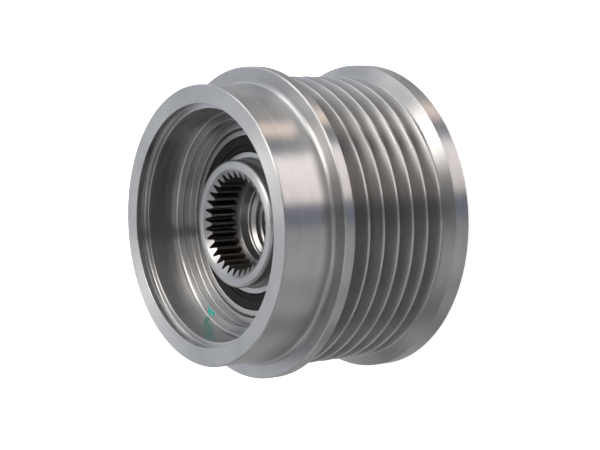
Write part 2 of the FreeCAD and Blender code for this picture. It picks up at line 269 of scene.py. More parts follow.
@dataclass(frozen=True)
class PaintDab:
    """A dab of inspection paint on a turned surface.

    Attributes:
        radius: Its distance from the axis, in mm.
        angle: Its place round the axis, in degrees from +X.
        height: Its height above the ground, in mm.
        size: Its radius, in mm.
        stretch: How many times longer it is across the marks than along them.
        colour: Its colour.
    """

    radius: float
    angle: float
    height: float
    size: float
    stretch: float
    colour: Colour = (0.01, 0.46, 0.36)

    def mask(self, shade: Shade) -> Sock:
        """Is 1 where the paint lies.

        Args:
            shade: The tree of the surface's material.

        Returns:
            The mask.
        """
        angle = math.radians(self.angle)
        out = (math.cos(angle), math.sin(angle))
        wobble = (shade.noise(shade.place, 900.0, 2.0) - 0.5) * (self.size * MM * 0.9)
        along = shade.y * out[0] - shade.x * out[1]
        across = shade.x * out[0] + shade.y * out[1] - self.radius * MM
        rise = shade.height - self.height * MM
        spread = along * along + across * across / self.stretch ** 2 + rise * rise
        return 1.0 - (spread.math("SQRT") + wobble).smooth_step(self.size * MM * 0.8, self.size * MM)


@dataclass(frozen=True)
class SocketShadeAndOil:
    """Painted shade, with a real oily film, that darkens the socket's tooth spaces. Sizes are in mm, angles
    in degrees.

    Attributes:
        face: The height of the hub's front face.
        sink: The radius at which the countersink starts.
        sink_angle: The countersink's slope.
        foot: The height of the shoulder under the teeth, at foot_radius.
        foot_radius: The inner radius of that shoulder.
        foot_angle: The shoulder's slope.
        tip: The radius of the teeth's tips.
        root: The radius of the tooth spaces.
        colour: The colour of the painted shade and oily film.
        tip_share: How much of it lies on the teeth's tips.
    """

    face: float
    sink: float
    sink_angle: float
    foot: float
    foot_radius: float
    foot_angle: float
    tip: float
    root: float
    # Dark colour that paints the shade of the tooth spaces, partly an oily film.
    colour: Colour = (0.130, 0.118, 0.104)
    tip_share: float = 0.80

    def mask(self, shade: Shade) -> Sock:
        """Is 1 on the teeth's flanks, and a little less on their tips.

        Args:
            shade: The tree of the surface's material.

        Returns:
            The mask.
        """
        fall = math.tan(math.radians(self.sink_angle))
        rise = math.tan(math.radians(self.foot_angle))
        mouth = shade.radius * fall + (self.face - self.sink * fall) * MM
        shoulder = shade.radius * rise + (self.foot - self.foot_radius * rise) * MM
        below = (mouth - shade.height).smooth_step(0.03 * MM, 0.16 * MM)
        above = (shade.height - shoulder).smooth_step(0.03 * MM, 0.12 * MM)
        inside = 1.0 - shade.radius.smooth_step((self.root + 0.05) * MM, (self.root + 0.10) * MM)
        flank = shade.radius.smooth_step((self.tip + 0.01) * MM, (self.tip + 0.12) * MM)
        return below * above * inside * (flank * (1.0 - self.tip_share) + self.tip_share)


@dataclass(frozen=True)
class TurnedSteel:
    """Bare steel as a lathe leaves it.

    Attributes:
        name: The finish's name.
        colour: The metal's colour.
        roughness: Its mean roughness.
        anisotropy: How far the marks stretch a highlight across them.
        mark_depth: The depth of the lathe's marks, in mm.
        tarnish: How much darker the cloudy patches are.
        dabs: Dabs of inspection paint.
        shade_and_oil: The painted shade, with an oily film, in its socket.
        bore: The radius within which it is turned finer, in mm.
        grooves: The radius below which the belt grooves get painted shade, in mm.
        finer: How much less rough the bore is.
        painted_groove_shade: The colour of the painted shade in the belt grooves.
        painted_groove_shade_share: How much of it shows.
        painted_groove_shade_low: The height at which the painted shade starts, in mm.
        painted_groove_shade_high: The height at which it ends, in mm.
        paint_roughness: The paint's roughness.
        oil_roughness: How much rougher the socket's dark patch is than the metal.
    """

    name: str
    colour: Colour
    roughness: float
    anisotropy: float
    mark_depth: float
    tarnish: float = 0.12
    dabs: tuple[PaintDab, ...] = ()
    shade_and_oil: Optional[SocketShadeAndOil] = None
    bore: float = 0.0
    grooves: float = 0.0
    finer: float = 0.07
    # Colour of the painted shade in the belt grooves.
    painted_groove_shade: Colour = (0.33, 0.32, 0.31)
    painted_groove_shade_share: float = 0.45
    painted_groove_shade_low: float = 5.0
    painted_groove_shade_high: float = 30.0
    paint_roughness: float = 0.35
    oil_roughness: float = 0.08

    def material(self) -> bpy.types.Material:
        """Builds the material.

        Returns:
            The finished material.
        """
        shade = Shade(self.name)
        marks = shade.turned_vector(0.004)
        fine = shade.noise(marks, 9000.0, 3.0, 0.65)
        coarse = shade.noise(marks, 2400.0, 2.0)
        cloud = shade.noise(shade.place, 120.0, 3.0)
        streak = shade.noise(marks, 700.0, 2.0)
        tone = shade.mix(cloud.smooth_step(0.35, 0.7), self.colour, scaled(self.colour, 1.0 - self.tarnish))
        tone = shade.mix(streak.smooth_step(0.45, 0.75) * 0.5, tone, scaled(self.colour, 1.0 + self.tarnish))
        roughness = self.roughness + (fine - 0.5) * 0.10 + (streak - 0.5) * 0.12
        normal = shade.bump(fine * 0.6 + coarse * 0.4, self.mark_depth * MM, 0.5)
        if self.bore > 0.0:
            outside = shade.radius.smooth_step((self.bore - 0.2) * MM, self.bore * MM)
            roughness = roughness - (1.0 - outside) * self.finer
        # Painted shade: the belt grooves' flanks and roots are darker than their crests.
        if self.grooves > 0.0:
            inside = 1.0 - shade.radius.smooth_step((self.grooves - 0.9) * MM, self.grooves * MM)
            outside = shade.radius.smooth_step((self.bore + 0.6) * MM, (self.bore + 0.8) * MM)
            ribs = inside * outside * shade.height.between(self.painted_groove_shade_low * MM, self.painted_groove_shade_high * MM, 0.4 * MM)
            tone = shade.mix(ribs * self.painted_groove_shade_share, tone, self.painted_groove_shade)
        metallic: Number = 1.0
        for dab in self.dabs:
            mask = dab.mask(shade)
            tone = shade.mix(mask, tone, dab.colour)
            roughness = roughness + mask * (self.paint_roughness - self.roughness)
            metallic = (1.0 - mask) if metallic == 1.0 else metallic * (1.0 - mask)
        # Painted shade: the tooth spaces get a dark colour, partly a real oily film.
        if self.shade_and_oil is not None:
            mask = self.shade_and_oil.mask(shade)
            tone = shade.mix(mask, tone, self.shade_and_oil.colour)
            roughness = roughness + mask * self.oil_roughness
        return shade.finish(
            Base_Color=tone,
            Roughness=roughness,
            Metallic=metallic,
            Anisotropic=self.anisotropy,
            Anisotropic_Rotation=0.25,
            Normal=normal,
        )


@dataclass(frozen=True)
class MouldedFinish:
    """Moulded rubber or plastic.

    Attributes:
        name: The finish's name.
        colour: The material's colour.
        dust: The colour of the bloom on it.
        roughness: Its mean roughness.
        grain: The depth of its grain, in mm.
        shine: Its specular level.
    """

    name: str
    colour: Colour
    dust: Colour
    roughness: float
    grain: float
    shine: float = 0.5

    def material(self) -> bpy.types.Material:
        """Builds the material.

        Returns:
            The finished material.
        """
        shade = Shade(self.name)
        grain = shade.noise(shade.place, 5200.0, 3.0)
        bloom = shade.noise(shade.place, 700.0, 4.0)
        tone = shade.mix(bloom.smooth_step(0.5, 0.8) * 0.6, self.colour, self.dust)
        roughness = self.roughness + (bloom - 0.5) * 0.2
        normal = shade.bump(grain, self.grain * MM, 0.6)
        return shade.finish(
            Base_Color=tone,
            Roughness=roughness,
            Specular_IOR_Level=self.shine,
            Normal=normal,
        )


def scaled(colour: Colour, factor: float) -> Colour:
    """Makes a colour lighter or darker."""
    return tuple(min(1.0, part * factor) for part in colour)


class Finish(Enum):
    """The finishes of the pulley's pieces."""

    BODY = TurnedSteel(
        name="turned_body_steel",
        colour=(0.48, 0.48, 0.48),
        roughness=0.32,
        anisotropy=0.88,
        mark_depth=0.004,
        dabs=(
            PaintDab(21.2, 143.2, 32.9, 0.72, 1.10),
            PaintDab(20.9, 146.4, 32.9, 0.62, 1.10),
            PaintDab(21.9, 144.2, 32.9, 0.22, 2.2),
            PaintDab(20.2, 141.0, 32.9, 0.16, 3.0),
            PaintDab(23.05, 65.7, 39.9, 0.24, 1.6, (0.02, 0.02, 0.02)),
        ),
        bore=23.6,
        # Below this radius the belt grooves get painted shade.
        grooves=28.3,
    )
    HUB = TurnedSteel(
        name="turned_hub_steel",
        colour=(0.48, 0.48, 0.48),
        roughness=0.30,
        anisotropy=0.80,
        mark_depth=0.004,
        # Painted shade, partly an oily film, darkens the socket's tooth spaces.
        shade_and_oil=SocketShadeAndOil(
            face=34.4,
            sink=10.6,
            sink_angle=28.8,
            foot=27.15,
            foot_radius=8.25,
            foot_angle=14.0,
            tip=8.95,
            root=10.18,
        ),
    )
    # The thread's steel is a little lighter than the hub's: painted light for the dim bore.
    THREAD = TurnedSteel("cut_thread_steel", (0.52, 0.52, 0.52), 0.38, 0.30, 0.002)
    RING = TurnedSteel("ground_bearing_steel", (0.50, 0.50, 0.50), 0.26, 0.60, 0.002)
    HARD = TurnedSteel("hardened_clutch_steel", (0.42, 0.42, 0.42), 0.22, 0.30, 0.001)
    SEAL = MouldedFinish("seal_rubber", (0.008, 0.008, 0.009), (0.024, 0.024, 0.026), 0.50, 0.012, 0.2)
    CAGE = MouldedFinish("cage_plastic", (0.10, 0.08, 0.05), (0.14, 0.12, 0.09), 0.45, 0.006)


@dataclass
class Corner:
    """A corner of a turned outline.

    Attributes:
        radius: Its distance from the axis, in mm.
        height: Its height above the ground, in mm.
        rounding: The radius that rounds it off, in mm.
    """

    radius: float
    height: float
    rounding: float = 0.04


def rounded(corners: list[Corner], step: float = 18.0) -> list[Vector]:
    """Rounds the corners of a closed outline.

    Args:
        corners: The outline's corners in order.
        step: The largest turn between two points of an arc, in degrees.

    Returns:
        The outline's points, in metres, in the plane of X and Z.
    """
    points = []
    for place, corner in enumerate(corners):
        here = Vector((corner.radius, 0.0, corner.height))
        last = corners[place - 1]
        after = corners[(place + 1) % len(corners)]
        back = (Vector((last.radius, 0.0, last.height)) - here).normalized()
        ahead = (Vector((after.radius, 0.0, after.height)) - here).normalized()
        turn = math.pi - back.angle(ahead)
        if turn < math.radians(2.0) or corner.rounding <= 0.0:
            points.append(here * MM)
            continue
        reach = corner.rounding * math.tan(turn / 2)
        centre = here + (back + ahead).normalized() * (corner.rounding / math.cos(turn / 2))
        start = (here + back * reach - centre).normalized()
        end = (here + ahead * reach - centre).normalized()
        count = max(2, math.ceil(math.degrees(turn) / step))
        for index in range(count + 1):
            points.append((centre + start.slerp(end, index / count) * corner.rounding) * MM)
    return points


def activate(piece: bpy.types.Object) -> None:
    """Selects one object alone.

    Args:
        piece: The object.
    """
    if bpy.context.object is not None and bpy.context.object.mode != "OBJECT":
        bpy.ops.object.mode_set(mode="OBJECT")
    bpy.ops.object.select_all(action="DESELECT")
    piece.select_set(True)
    bpy.context.view_layer.objects.active = piece


def turn(name: str, corners: list[Corner], steps: int = 240) -> bpy.types.Object:
    """Turns a closed outline round the axis into a solid of revolution.

    Args:
        name: The piece's name.
        corners: The outline's corners in order.
        steps: How many flats go round.

    Returns:
        The finished piece.
    """
    points = rounded(corners)
    bpy.ops.object.select_all(action="DESELECT")
    bpy.ops.mesh.primitive_plane_add(size=MM, location=(0.0, 0.0, 0.0))
    piece = bpy.context.object
    piece.name = name
    piece.data.name = name
    bpy.ops.object.mode_set(mode="EDIT")
    bpy.ops.mesh.select_mode(type="VERT")
    bpy.ops.mesh.select_all(action="SELECT")
    bpy.ops.mesh.merge(type="CENTER")
    bpy.ops.transform.translate(value=points[0])
    for before, after in zip(points, points[1:] + points[:1]):
        bpy.ops.mesh.extrude_vertices_move(TRANSFORM_OT_translate={"value": after - before})
    bpy.ops.mesh.select_all(action="SELECT")
    bpy.ops.mesh.remove_doubles(threshold=MERGE)
    bpy.ops.mesh.spin(steps=steps, angle=math.tau, center=(0.0, 0.0, 0.0), axis=(0.0, 0.0, 1.0))
    bpy.ops.mesh.select_all(action="SELECT")
    bpy.ops.mesh.remove_doubles(threshold=MERGE)
    bpy.ops.mesh.normals_make_consistent(inside=False)
    bpy.ops.object.mode_set(mode="OBJECT")
    return piece


def smooth(piece: bpy.types.Object, angle: float = 32.0) -> bpy.types.Object:
    """Shades a piece smooth, with its flats kept flat.

    Args:
        piece: The piece.
        angle: The largest angle that still looks smooth, in degrees.

    Returns:
        The same piece.
    """
    activate(piece)
    bpy.ops.object.shade_smooth_by_angle(angle=math.radians(angle))
    modifier = piece.modifiers.new("flats", "WEIGHTED_NORMAL")
    modifier.keep_sharp = True
    modifier.weight = 100
    bpy.ops.object.modifier_apply(modifier=modifier.name)
    return piece


def dress(piece: bpy.types.Object, material: bpy.types.Material) -> bpy.types.Object:
    """Gives a piece its one material.

    Args:
        piece: The piece.
        material: Its material.

    Returns:
        The same piece.
    """
    piece.data.materials.clear()
    piece.data.materials.append(material)
    return piece


class Materials:
    """Each finish's material, built once."""

    def __init__(self) -> None:
        """Starts with none."""
        self.made: dict[Finish, bpy.types.Material] = {}

    def get(self, finish: Finish) -> bpy.types.Material:
        """The material of a finish.

        Args:
            finish: The finish.

        Returns:
            Its material, built the first time.
        """
        if finish not in self.made:
            self.made[finish] = finish.value.material()
        return self.made[finish]


@dataclass
class BeltWheel:
    """The turned pulley body. Sizes are in mm, and widths inside are measured from the bearing's seat.

    Attributes:
        rear: The height of its rear face.
        rim: The height of its front rim.
        rear_flange: The radius of its rear flange.
        seat: The radius of the bearings' seat.
    """

    rear: float
    rim: float
    rear_flange: float
    seat: float
    grooves: int = 6
    pitch: float = 3.56
    crest_width: float = 0.51
    crest_rounding: float = 0.25
    crest: float = 28.4
    flank_angle: float = 20.0
    root_rounding: float = 0.40
    rear_flange_width: float = 4.35
    rear_corner: float = 0.51
    guide_height: float = 1.73
    front_flange: float = 30.3
    front_flange_width: float = 2.15
    step_width: float = 1.85
    shelf_width: float = 2.00
    mouth_width: float = 0.95
    rim_width: float = 3.60
    mouth_depth: float = 2.20
    shelf_height: float = 32.80
    foot_height: float = 30.92
    rear_chamfer: float = 0.30
    cone_start: float = 0.88
    cone_end: float = 0.20
    front_chamfer: float = 0.25
    collar_fillet: float = 1.05
    rim_rounding: float = 0.35
    cap_groove_depth: float = 0.25
    shelf_lip: float = 0.15
    steps: int = 288

    def grooves_outline(self) -> list[Corner]:
        """The belt ribs, from the rear crest to the foot of the front flange.

        Returns:
            The outline's corners.
        """
        half = (self.pitch - self.crest_width) / 2
        apex = self.crest - half / math.tan(math.radians(self.flank_angle))
        first = self.rear + self.rear_flange_width + self.rear_corner
        corners = []
        for index in range(self.grooves):
            height = first + index * self.pitch
            corners.append(Corner(self.crest, height + self.crest_width, self.crest_rounding))
            corners.append(Corner(apex, height + self.crest_width + half, self.root_rounding))
            corners.append(Corner(self.crest, height + self.pitch, self.crest_rounding))
        corners[-1].rounding = 0.30
        return corners

    def mouth_outline(self) -> list[Corner]:
        """The rim, the mouth and the two shelves down to the bearing's seat.

        Returns:
            The outline's corners.
        """
        step = self.seat + self.step_width
        cavity = step + self.shelf_width
        mouth = cavity + self.mouth_width
        seat = self.rim - self.mouth_depth
        return [
            Corner(mouth + self.rim_width, self.rim, self.rim_rounding),
            Corner(mouth + 0.07, self.rim, 0.04),
            Corner(mouth, self.rim - 0.07, 0.04),
            Corner(mouth, seat + 1.10, 0.10),
            Corner(mouth + self.cap_groove_depth, seat + 0.75, 0.15),
            Corner(mouth + self.cap_groove_depth, seat, 0.28),
            Corner(cavity, seat - 0.06, 0.16),
            Corner(cavity, self.shelf_height, 0.50),
            Corner(step - self.shelf_lip, self.shelf_height + self.shelf_lip, 0.10),
            Corner(step - self.shelf_lip, self.shelf_height - self.shelf_lip, 0.04),
            Corner(step + self.shelf_lip, self.shelf_height - 3 * self.shelf_lip, 0.10),
            Corner(step + self.shelf_lip, self.foot_height, 0.24),
            Corner(self.seat + 0.10, self.foot_height, 0.12),
            Corner(self.seat, self.foot_height - 0.15, 0.04),
        ]

    def build(self) -> bpy.types.Object:
        """Turns the body.

        Returns:
            The finished piece.
        """
        flange_top = self.rear + self.rear_flange_width
        first = flange_top + self.rear_corner
        flank = first + self.grooves * self.pitch
        front = flank + self.guide_height
        collar_foot = front + self.front_flange_width
        collar = self.seat + self.step_width + self.shelf_width + self.mouth_width + self.rim_width
        outside = [
            Corner(self.seat + self.rear_chamfer, self.rear, 0.05),
            Corner(self.rear_flange - self.rear_chamfer, self.rear, 0.08),
            Corner(self.rear_flange, self.rear + self.rear_chamfer, 0.08),
            Corner(self.rear_flange, flange_top - self.cone_start, 0.12),
            Corner(self.crest - self.cone_end, first - self.cone_end, 0.05),
            Corner(self.crest, first + 0.06, 0.16),
            *self.grooves_outline(),
            Corner(self.front_flange, front, 0.14),
            Corner(self.front_flange, collar_foot - self.front_chamfer, 0.05),
            Corner(self.front_flange - self.front_chamfer, collar_foot, 0.05),
            Corner(collar, collar_foot, self.collar_fillet),
        ]
        last = Corner(self.seat, self.rear + self.rear_chamfer, 0.04)
        return smooth(turn("belt_wheel", [*outside, *self.mouth_outline(), last], self.steps))


@dataclass
class Hub:
    """The splined and threaded hub. Sizes are in mm.

    Attributes:
        top: The height of its front face.
        radius: The radius that the bearings sit on.
        face: The height of the bearing's face.
    """

    top: float
    radius: float
    face: float
    teeth: int = 33
    root: float = 10.18
    tip: float = 8.95
    root_land: float = 0.34
    root_rounding: float = 0.13
    tip_land: float = 0.42
    spline_length: float = 7.25
    tooth_turn: float = -4.7
    foot_angle: float = 14.0
    relief: float = 8.2
    relief_length: float = 1.9
    thread_major: float = 8.0
    thread_minor: float = 7.188
    thread_pitch: float = 1.5
    thread_foot: float = 10.05
    pilot: float = 8.52
    countersink_angle: float = 28.8
    face_width: float = 1.80
    nose_rounding: float = 0.65
    steps: int = 264
    wedge_overlap: float = 0.4
    wedge_overshoot: float = 1.0
    thread_steps: int = 96
    thread_crest_half: float = 0.14

    def foot_height(self, radius: float) -> float:
        """The height of the sloping shoulder under the teeth."""
        slope = math.tan(math.radians(self.foot_angle))
        return self.top - self.spline_length + (radius - self.relief - 0.05) * slope

    def blank(self) -> bpy.types.Object:
        """Turns the hub without its tooth spaces.

        Returns:
            The plain hub.
        """
        nose = self.radius - 0.10
        sink = nose - self.face_width
        spline_foot = self.top - self.spline_length
        relief_foot = spline_foot - self.relief_length
        depth = (sink - self.tip) * math.tan(math.radians(self.countersink_angle))
        cone_foot = self.thread_foot - 1.33
        return turn("hub", [
            Corner(self.pilot + 0.50, 0.0, 0.06),
            Corner(self.radius + 0.70, 0.0, 0.08),
            Corner(self.radius + 1.10, 0.40, 0.08),
            Corner(self.radius + 1.10, 1.50, 0.06),
            Corner(self.radius, 1.50, 0.0),
            Corner(self.radius, self.face, 0.0),
            Corner(nose, self.face + 0.10, 0.0),
            Corner(nose, self.top, self.nose_rounding),
            Corner(sink, self.top, 0.05),
            Corner(self.tip, self.top - depth, 0.0),
            Corner(self.tip, self.foot_height(self.tip), 0.0),
            Corner(self.relief + 0.05, spline_foot, 0.02),
            Corner(self.relief, spline_foot - 0.05, 0.02),
            Corner(self.relief, relief_foot, 0.0),
            Corner(self.thread_major, relief_foot - 0.20, 0.0),
            Corner(self.thread_major, self.thread_foot - 0.30, 0.0),
            Corner(self.pilot, cone_foot, 0.03),
            Corner(self.pilot, 0.50, 0.04),
        ], self.steps)

    def tooth_spaces(self) -> bpy.types.Object:
        """Models one tooth space as a wedge and spins copies of it round the axis.

        Returns:
            All the tooth spaces, as one piece.
        """
        inner = self.tip - self.wedge_overlap
        foot = self.foot_height(inner)
        rise = self.spline_length + self.wedge_overshoot
        pitch_half = math.pi * self.tip / self.teeth
        tip_half = pitch_half - self.tip_land / 2
        root_half = self.root_land / 2
        slope = (tip_half - root_half) / (self.root - self.tip)
        inner_half = root_half + slope * (self.root - inner)
        bpy.ops.object.select_all(action="DESELECT")
        middle = ((self.root + inner) / 2 * MM, 0.0, (foot + rise / 2) * MM)
        bpy.ops.mesh.primitive_cube_add(size=1.0, location=middle)
        piece = bpy.context.object
        piece.scale = ((self.root - inner) * MM, 2 * inner_half * MM, rise * MM)
        bpy.ops.object.transform_apply(location=True, rotation=False, scale=True)
        bpy.ops.object.mode_set(mode="EDIT")
        bpy.ops.mesh.select_mode(type="VERT")
        bpy.ops.mesh.select_all(action="DESELECT")
        bpy.ops.object.mode_set(mode="OBJECT")
        for vertex in piece.data.vertices:
            vertex.select = vertex.co.x > middle[0]
        bpy.ops.object.mode_set(mode="EDIT")
        bpy.ops.transform.resize(value=(1.0, root_half / inner_half, 1.0), center_override=(0.0, 0.0, 0.0))
        bpy.ops.transform.translate(value=(0.0, 0.0, (self.foot_height(self.root) - foot) * MM))
        bpy.ops.mesh.select_mode(type="EDGE")
        bpy.ops.mesh.select_all(action="DESELECT")
        bpy.ops.object.mode_set(mode="OBJECT")
        for edge in piece.data.edges:
            low, high = (piece.data.vertices[index].co for index in edge.vertices)
            edge.select = min(low.x, high.x) > middle[0] and abs(high.z - low.z) > MM
        bpy.ops.object.mode_set(mode="EDIT")
        bpy.ops.mesh.bevel(offset=self.root_rounding * MM, segments=2, affect="EDGES")
        bpy.ops.mesh.select_mode(type="VERT")
        bpy.ops.mesh.select_all(action="SELECT")
        bpy.ops.mesh.spin(
            steps=self.teeth,
            dupli=True,
            angle=math.tau,
            center=(0.0, 0.0, 0.0),
            axis=(0.0, 0.0, 1.0),
        )
        bpy.ops.mesh.select_all(action="SELECT")
        bpy.ops.mesh.remove_doubles(threshold=MERGE)
        bpy.ops.mesh.normals_make_consistent(inside=False)
        bpy.ops.object.mode_set(mode="OBJECT")
        piece.rotation_euler.z = math.radians(self.tooth_turn)
        bpy.ops.object.transform_apply(location=False, rotation=True, scale=False)
        return piece

    def build(self) -> bpy.types.Object:
        """Cuts the tooth spaces out of the blank.

        Returns:
            The finished piece.
        """
        piece = self.blank()
        spaces = self.tooth_spaces()
        activate(piece)
        cut = piece.modifiers.new("tooth_spaces", "BOOLEAN")
        cut.operation = "DIFFERENCE"
        cut.solver = "EXACT"
        cut.object = spaces
        bpy.ops.object.modifier_apply(modifier=cut.name)
        bpy.data.objects.remove(spaces)
        return smooth(piece, 28.0)

    def thread(self) -> bpy.types.Object:
        """Winds one thread ridge up the bore.

        Returns:
            The finished piece.
        """
        top = self.top - self.spline_length - self.relief_length - 0.25
        turns = (top - self.thread_foot) / self.thread_pitch
        root = self.thread_major + 0.06
        crest = self.thread_minor
        half = self.thread_pitch / 2 * 0.93
        bpy.ops.object.select_all(action="DESELECT")
        bpy.ops.mesh.primitive_circle_add(vertices=4, radius=MM, fill_type="NOTHING")
        piece = bpy.context.object
        piece.name = "shaft_thread"
        flat = self.thread_crest_half
        profile = [(root, -half), (crest, -flat), (crest, flat), (root, half)]
        for vertex, (radius, height) in zip(piece.data.vertices, profile):
            vertex.co = (radius * MM, 0.0, (self.thread_foot + height) * MM)
        screw = piece.modifiers.new("turns", "SCREW")
        screw.axis = "Z"
        screw.angle = math.tau * turns
        screw.screw_offset = self.thread_pitch * turns * MM
        screw.steps = round(self.thread_steps * turns)
        screw.render_steps = screw.steps
        screw.use_normal_calculate = True
        activate(piece)
        bpy.ops.object.modifier_apply(modifier=screw.name)
        bpy.ops.object.mode_set(mode="EDIT")
        bpy.ops.mesh.select_mode(type="EDGE")
        bpy.ops.mesh.select_all(action="DESELECT")
        bpy.ops.mesh.select_non_manifold()
        bpy.ops.mesh.edge_face_add()
        bpy.ops.mesh.select_all(action="SELECT")
        bpy.ops.mesh.normals_make_consistent(inside=False)
        bpy.ops.object.mode_set(mode="OBJECT")
        return smooth(piece, 30.0)


@dataclass
class BearingEnd:
    """The rings and the open-side seal of one ball bearing. Sizes are in mm.

    Attributes:
        place: The bearing's name.
        low: The height of its lower face.
        high: The height of its upper face.
        upward: Whether its open side faces up.
    """

    place: str
    low: float
    high: float
    upward: bool
    bore: float = 12.5
    outside: float = 18.5
    inner_shoulder: float = 14.25
    outer_shoulder: float = 16.75
    land: float = 13.78
    seat: float = 17.1
    seat_depth: float = 1.0
    chamfer: float = 0.40
    seal_recess: float = 0.12
    seal_thickness: float = 0.80
    lip_clearance: float = 0.08
    lip_width: float = 0.74
    groove_width: float = 0.50
    groove_depth: float = 0.25
    track_half: float = 1.30
    track_rounding: float = 1.2
    inner_track: float = 13.4
    outer_track: float = 17.6

    def raceway(self, shoulder: float, bottom: float) -> list[Corner]:
        """The ball track's arc between its two shoulders, as three rounded corners.

        Args:
            shoulder: The radius of its shoulders.
            bottom: The radius of its bottom.

        Returns:
            The three corners.
        """
        middle = (self.low + self.high) / 2
        return [
            Corner(shoulder, middle - self.track_half, 0.05),
            Corner(bottom, middle, self.track_rounding),
            Corner(shoulder, middle + self.track_half, 0.05),
        ]

    def inner_ring(self) -> bpy.types.Object:
        """Turns the inner ring.

        Returns:
            The finished piece.
        """
        low, high, depth = self.low, self.high, self.seat_depth
        return smooth(turn(self.place + "_inner_race", [
            Corner(self.bore, low + 0.25, 0.04),
            Corner(self.bore + 0.25, low, 0.04),
            Corner(self.land, low, 0.06),
            Corner(self.land, low + depth, 0.0),
            Corner(self.inner_shoulder, low + depth, 0.04),
            *self.raceway(self.inner_shoulder, self.inner_track),
            Corner(self.inner_shoulder, high - depth, 0.04),
            Corner(self.land, high - depth, 0.0),
            Corner(self.land, high, 0.06),
            Corner(self.bore + 0.25, high, 0.04),
            Corner(self.bore, high - 0.25, 0.04),
        ]))

    def outer_ring(self) -> bpy.types.Object:
        """Turns the outer ring.

        Returns:
            The finished piece.
        """
        low, high, depth = self.low, self.high, self.seat_depth
        return smooth(turn(self.place + "_outer_race", [
            Corner(self.outside, low + self.chamfer, 0.06),
            Corner(self.outside, high - self.chamfer, 0.06),
            Corner(self.outside - self.chamfer, high, 0.06),
            Corner(self.seat, high, 0.05),
            Corner(self.seat, high - depth, 0.0),
            Corner(self.outer_shoulder, high - depth, 0.04),
            *reversed(self.raceway(self.outer_shoulder, self.outer_track)),
            Corner(self.outer_shoulder, low + depth, 0.04),
            Corner(self.seat, low + depth, 0.0),
            Corner(self.seat, low, 0.05),
            Corner(self.outside - self.chamfer, low, 0.06),
        ]))

    def seal(self) -> bpy.types.Object:
        """Turns the seal on the open side.

        Returns:
            The finished piece.
        """
        out = 1.0 if self.upward else -1.0
        face = (self.high if self.upward else self.low) - out * self.seal_recess
        back = face - out * self.seal_thickness
        lip = self.land + self.lip_clearance
        groove = lip + self.lip_width
        floor = face - out * self.groove_depth
        corners = [
            Corner(lip, back, 0.05),
            Corner(lip, floor, 0.06),
            Corner(lip + 0.25, face, 0.08),
            Corner(groove, face, 0.08),
            Corner(groove, floor, 0.08),
            Corner(groove + self.groove_width, floor, 0.08),
            Corner(groove + self.groove_width, face, 0.08),
            Corner(self.seat, face, 0.10),
            Corner(self.seat, back, 0.05),
        ]
        return smooth(turn(self.place + "_seal", corners))


@dataclass(frozen=True)
class Softbox:
    """A soft panel in the studio's wall. Its angles are in degrees.

    Attributes:
        name: What it lights.
        azimuth: Its middle's angle round the axis, from the camera's side through +X.
        elevation: Its middle's height angle.
        width: Its width round the axis.
        height: Its height.
        edge: How far its edges fade.
        colour: Its light.
    """

    name: str
    azimuth: float
    elevation: float
    width: float
    height: float
    edge: float
    colour: Colour

    def mask(self, x: Sock, y: Sock, rise: Sock) -> Sock:
        """Is 1 in the directions that the panel fills.

        Args:
            x: The direction's X.
            y: The direction's Y.
            rise: Its height angle, in radians.

        Returns:
            The mask.
        """
        angle = math.radians(self.azimuth)
        ahead = x * math.sin(angle) - y * math.cos(angle)
        aside = x * math.cos(angle) + y * math.sin(angle)
        half = math.radians(self.width / 2)
        low = math.radians(self.elevation - self.height / 2)
        high = math.radians(self.elevation + self.height / 2)
        edge = math.radians(self.edge)
        return aside.math("ARCTAN2", ahead).between(-half, half, edge) * rise.between(low, high, edge)


